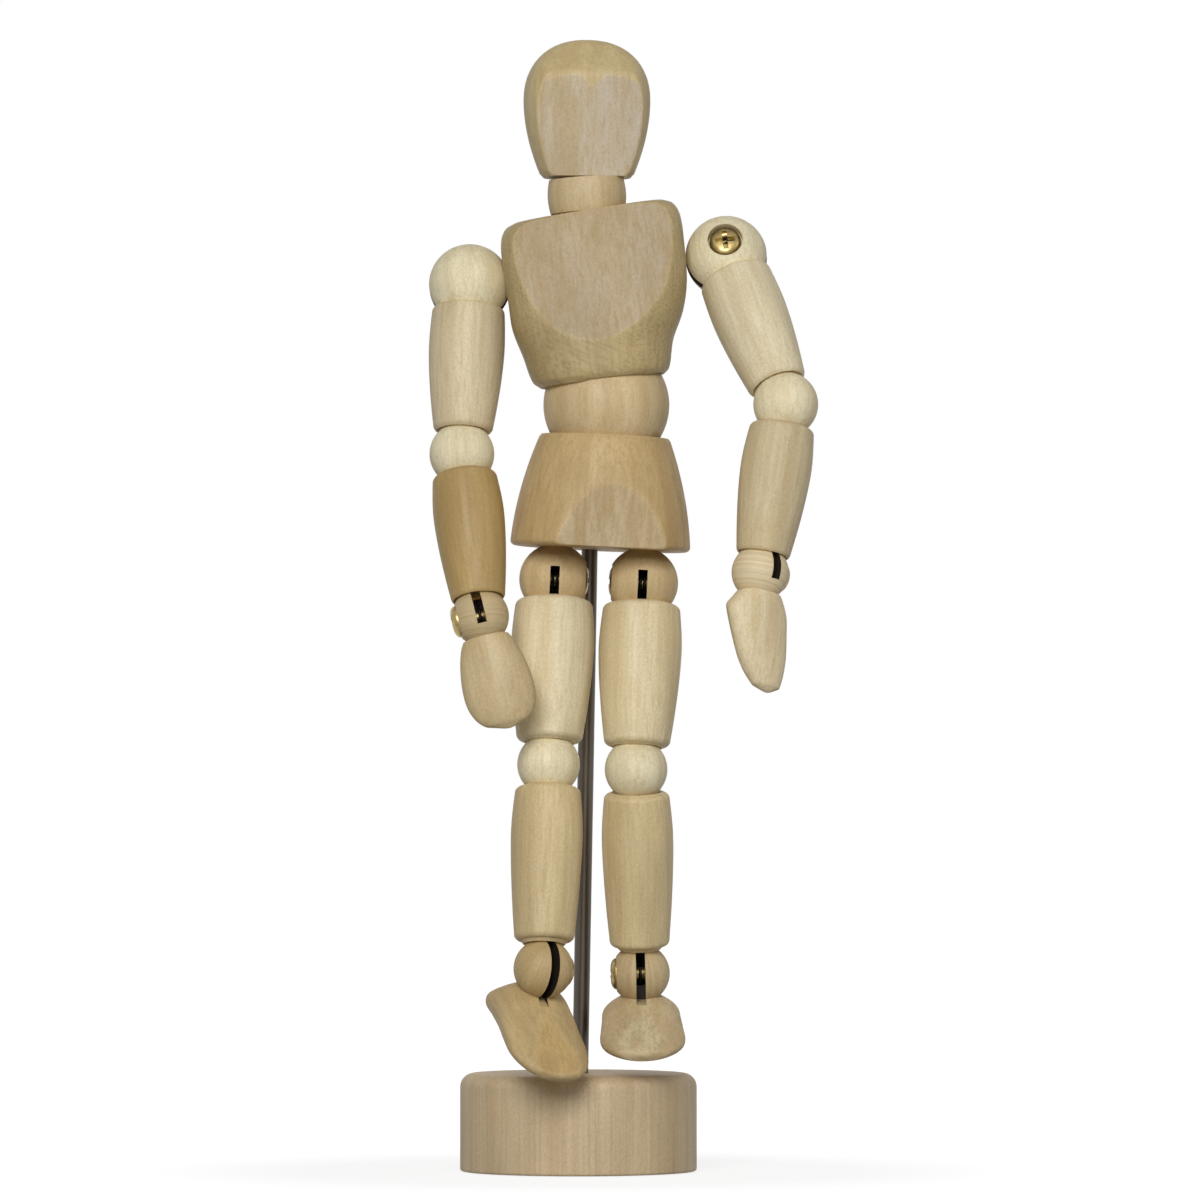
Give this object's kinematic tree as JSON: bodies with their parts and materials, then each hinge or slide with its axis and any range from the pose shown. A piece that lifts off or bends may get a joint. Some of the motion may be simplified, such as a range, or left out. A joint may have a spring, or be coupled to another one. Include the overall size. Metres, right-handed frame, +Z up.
{
  "type": "wooden artist mannequin",
  "caption": "Small jointed wooden drawing mannequin with turned limbs on ball joints, held by hidden springs and standing on a steel rod in a round wooden base.",
  "frame": {"origin": "centre of the flat underside of the round base", "axes": "+Z up the support rod towards the head, the figure faces -Y, and +X is to the viewer's right"},
  "size_m": [0.0479, 0.0382, 0.1398],
  "materials": {
    "pale_wood": "bare sanded pale wood",
    "tan_wood": "bare sanded tan wood",
    "golden_wood": "bare sanded golden wood",
    "brass_plated_screw": "yellow plated steel",
    "dark_steel": "dark drawn steel"
  },
  "bodies": {
    "stand": {"base": "tan_wood", "support_rod": "dark_steel"},
    "pelvis": {"pelvis": "golden_wood", "pelvis_pin": "dark_steel", "torso_spring": "dark_steel", "right_hip_spring": "dark_steel", "left_hip_spring": "dark_steel"},
    "waist_ball": {"waist_ball": "tan_wood"},
    "chest": {"chest": "tan_wood", "shoulder_spring": "dark_steel"},
    "neck": {"neck": "pale_wood"},
    "head": {"head": "pale_wood", "head_pin": "dark_steel"},
    "right_shoulder_ball": {"right_shoulder_ball": "pale_wood", "right_shoulder_screw": "brass_plated_screw"},
    "right_upper_arm": {"right_upper_arm": "pale_wood", "right_arm_spring": "dark_steel"},
    "right_elbow_ball": {"right_elbow_ball": "pale_wood"},
    "right_forearm": {"right_forearm": "golden_wood"},
    "right_hand": {"right_hand": "golden_wood", "right_wrist_screw": "brass_plated_screw"},
    "right_hip_ball": {"right_hip_ball": "pale_wood", "right_hip_screw": "brass_plated_screw"},
    "right_thigh": {"right_thigh": "pale_wood", "right_leg_spring": "dark_steel"},
    "right_knee_ball": {"right_knee_ball": "pale_wood"},
    "right_calf": {"right_calf": "pale_wood"},
    "right_foot": {"right_foot": "golden_wood", "right_ankle_screw": "brass_plated_screw"},
    "left_shoulder_ball": {"left_shoulder_ball": "pale_wood", "left_shoulder_screw": "brass_plated_screw"},
    "left_upper_arm": {"left_upper_arm": "pale_wood", "left_arm_spring": "dark_steel"},
    "left_elbow_ball": {"left_elbow_ball": "pale_wood"},
    "left_forearm": {"left_forearm": "golden_wood"},
    "left_hand": {"left_hand": "golden_wood", "left_wrist_screw": "brass_plated_screw"},
    "left_hip_ball": {"left_hip_ball": "pale_wood", "left_hip_screw": "brass_plated_screw"},
    "left_thigh": {"left_thigh": "pale_wood", "left_leg_spring": "dark_steel"},
    "left_knee_ball": {"left_knee_ball": "pale_wood"},
    "left_calf": {"left_calf": "pale_wood"},
    "left_foot": {"left_foot": "golden_wood", "left_ankle_screw": "brass_plated_screw"}
  },
  "joints": [
    {"name": "figure_turn", "type": "hinge", "parent": "stand", "child": "pelvis", "pos_m": [0, 0, 0], "axis": [0.018, 0, 0.9998], "continuous": true},
    {"name": "waist_bend", "type": "hinge", "parent": "pelvis", "child": "waist_ball", "pos_m": [0.00346, -0.0055, 0.0946], "axis": [0, 1, 0], "range_deg": [-4, 25], "deforming": ["torso_spring"]},
    {"name": "chest_turn", "type": "hinge", "parent": "waist_ball", "child": "chest", "pos_m": [0.00346, -0.0055, 0.0946], "axis": [-0.0332, 0, 0.9995], "range_deg": [-60, 60], "deforming": ["torso_spring"]},
    {"name": "neck_nod", "type": "hinge", "parent": "chest", "child": "neck", "pos_m": [0.00106, -0.0055, 0.12044], "axis": [0.994, 0, 0.1097], "range_deg": [-30, 35], "deforming": ["torso_spring"]},
    {"name": "head_turn", "type": "hinge", "parent": "neck", "child": "head", "pos_m": [0.00106, -0.0055, 0.12044], "axis": [-0.055, 0, 0.9985], "range_deg": [-90, 90], "deforming": ["torso_spring"]},
    {"name": "right_shoulder_turn", "type": "hinge", "parent": "chest", "child": "right_shoulder_ball", "pos_m": [-0.01343, -0.0039, 0.10953], "axis": [-0.994, 0, -0.1097], "range_deg": [-4, 165], "deforming": ["shoulder_spring"]},
    {"name": "right_shoulder_raise", "type": "hinge", "parent": "right_shoulder_ball", "child": "right_upper_arm", "pos_m": [-0.01343, -0.0039, 0.10953], "axis": [0.0265, 0.9703, -0.2405], "range_deg": [0, 100], "deforming": ["right_arm_spring"]},
    {"name": "right_elbow_bend", "type": "hinge", "parent": "right_upper_arm", "child": "right_elbow_ball", "pos_m": [-0.0143, -0.00912, 0.08839], "axis": [-0.9989, 0.0353, 0.0323], "range_deg": [-4, 70], "deforming": ["right_arm_spring"]},
    {"name": "right_forearm_turn", "type": "hinge", "parent": "right_elbow_ball", "child": "right_forearm", "pos_m": [-0.0143, -0.00912, 0.08839], "axis": [-0.036, 0.275, 0.9608], "range_deg": [-90, 90], "deforming": ["right_arm_spring"]},
    {"name": "right_wrist_bend", "type": "hinge", "parent": "right_forearm", "child": "right_hand", "pos_m": [-0.01193, -0.01569, 0.06826], "axis": [-0.9934, -0.0094, -0.1143], "range_deg": [-20, 80], "deforming": ["right_arm_spring"]},
    {"name": "right_hip_turn", "type": "hinge", "parent": "pelvis", "child": "right_hip_ball", "pos_m": [-0.00289, -0.0055, 0.0731], "axis": [-0.0436, 0, -0.999], "range_deg": [-12, 60], "deforming": ["right_hip_spring"]},
    {"name": "right_hip_swing", "type": "hinge", "parent": "right_hip_ball", "child": "right_thigh", "pos_m": [-0.00289, -0.0055, 0.0731], "axis": [-0.999, 0, 0.0436], "range_deg": [-2, 12], "deforming": ["right_leg_spring"]},
    {"name": "right_knee_bend", "type": "hinge", "parent": "right_thigh", "child": "right_knee_ball", "pos_m": [-0.00364, -0.00995, 0.05024], "axis": [0.9994, 0.002, -0.0333], "range_deg": [-65, 4], "deforming": ["right_leg_spring"]},
    {"name": "right_shin_turn", "type": "hinge", "parent": "right_knee_ball", "child": "right_calf", "pos_m": [-0.00364, -0.00995, 0.05024], "axis": [0.028, 0.1908, 0.9812], "range_deg": [-45, 45], "deforming": ["right_leg_spring"]},
    {"name": "right_ankle_bend", "type": "hinge", "parent": "right_calf", "child": "right_foot", "pos_m": [-0.00424, -0.01479, 0.02532], "axis": [-0.9025, -0.4182, 0.103], "range_deg": [-15, 60], "deforming": ["right_leg_spring"]},
    {"name": "left_shoulder_turn", "type": "hinge", "parent": "chest", "child": "left_shoulder_ball", "pos_m": [0.01827, -0.0039, 0.11303], "axis": [-0.994, 0, -0.1097], "range_deg": [-90, 165], "deforming": ["shoulder_spring"]},
    {"name": "left_shoulder_raise", "type": "hinge", "parent": "left_shoulder_ball", "child": "left_upper_arm", "pos_m": [0.01827, -0.0039, 0.11303], "axis": [-0.0446, -0.9135, 0.4043], "range_deg": [-8, 100], "deforming": ["left_arm_spring"]},
    {"name": "left_elbow_bend", "type": "hinge", "parent": "left_upper_arm", "child": "left_elbow_ball", "pos_m": [0.02542, -0.01253, 0.09433], "axis": [-0.9437, -0.0943, -0.3172], "range_deg": [-50, 70], "deforming": ["left_arm_spring"]},
    {"name": "left_forearm_turn", "type": "hinge", "parent": "left_elbow_ball", "child": "left_forearm", "pos_m": [0.02542, -0.01253, 0.09433], "axis": [-0.0927, 0.2958, 0.9507], "range_deg": [-90, 90], "deforming": ["left_arm_spring"]},
    {"name": "left_wrist_bend", "type": "hinge", "parent": "left_forearm", "child": "left_hand", "pos_m": [0.0222, -0.01631, 0.07362], "axis": [-0.9885, 0.0202, 0.1499], "range_deg": [-75, 75], "deforming": ["left_arm_spring"]},
    {"name": "left_hip_turn", "type": "hinge", "parent": "pelvis", "child": "left_hip_ball", "pos_m": [0.0079, -0.0055, 0.07263], "axis": [0.0436, 0, 0.999], "range_deg": [-20, 35], "deforming": ["left_hip_spring"]},
    {"name": "left_hip_swing", "type": "hinge", "parent": "left_hip_ball", "child": "left_thigh", "pos_m": [0.0079, -0.0055, 0.07263], "axis": [-0.999, 0, 0.0436], "range_deg": [-60, 65], "deforming": ["left_leg_spring"]},
    {"name": "left_knee_bend", "type": "hinge", "parent": "left_thigh", "child": "left_knee_ball", "pos_m": [0.0071, -0.00914, 0.04963], "axis": [0.9994, 0.0014, -0.035], "range_deg": [-60, 55], "deforming": ["left_leg_spring"]},
    {"name": "left_shin_turn", "type": "hinge", "parent": "left_knee_ball", "child": "left_calf", "pos_m": [0.0071, -0.00914, 0.04963], "axis": [0.0071, 0, 1], "range_deg": [-45, 20], "deforming": ["left_leg_spring"]},
    {"name": "left_ankle_bend", "type": "hinge", "parent": "left_calf", "child": "left_foot", "pos_m": [0.00763, -0.00517, 0.02455], "axis": [-0.9996, -0.0142, -0.0232], "range_deg": [-8, 60], "deforming": ["left_leg_spring"]}
  ]
}
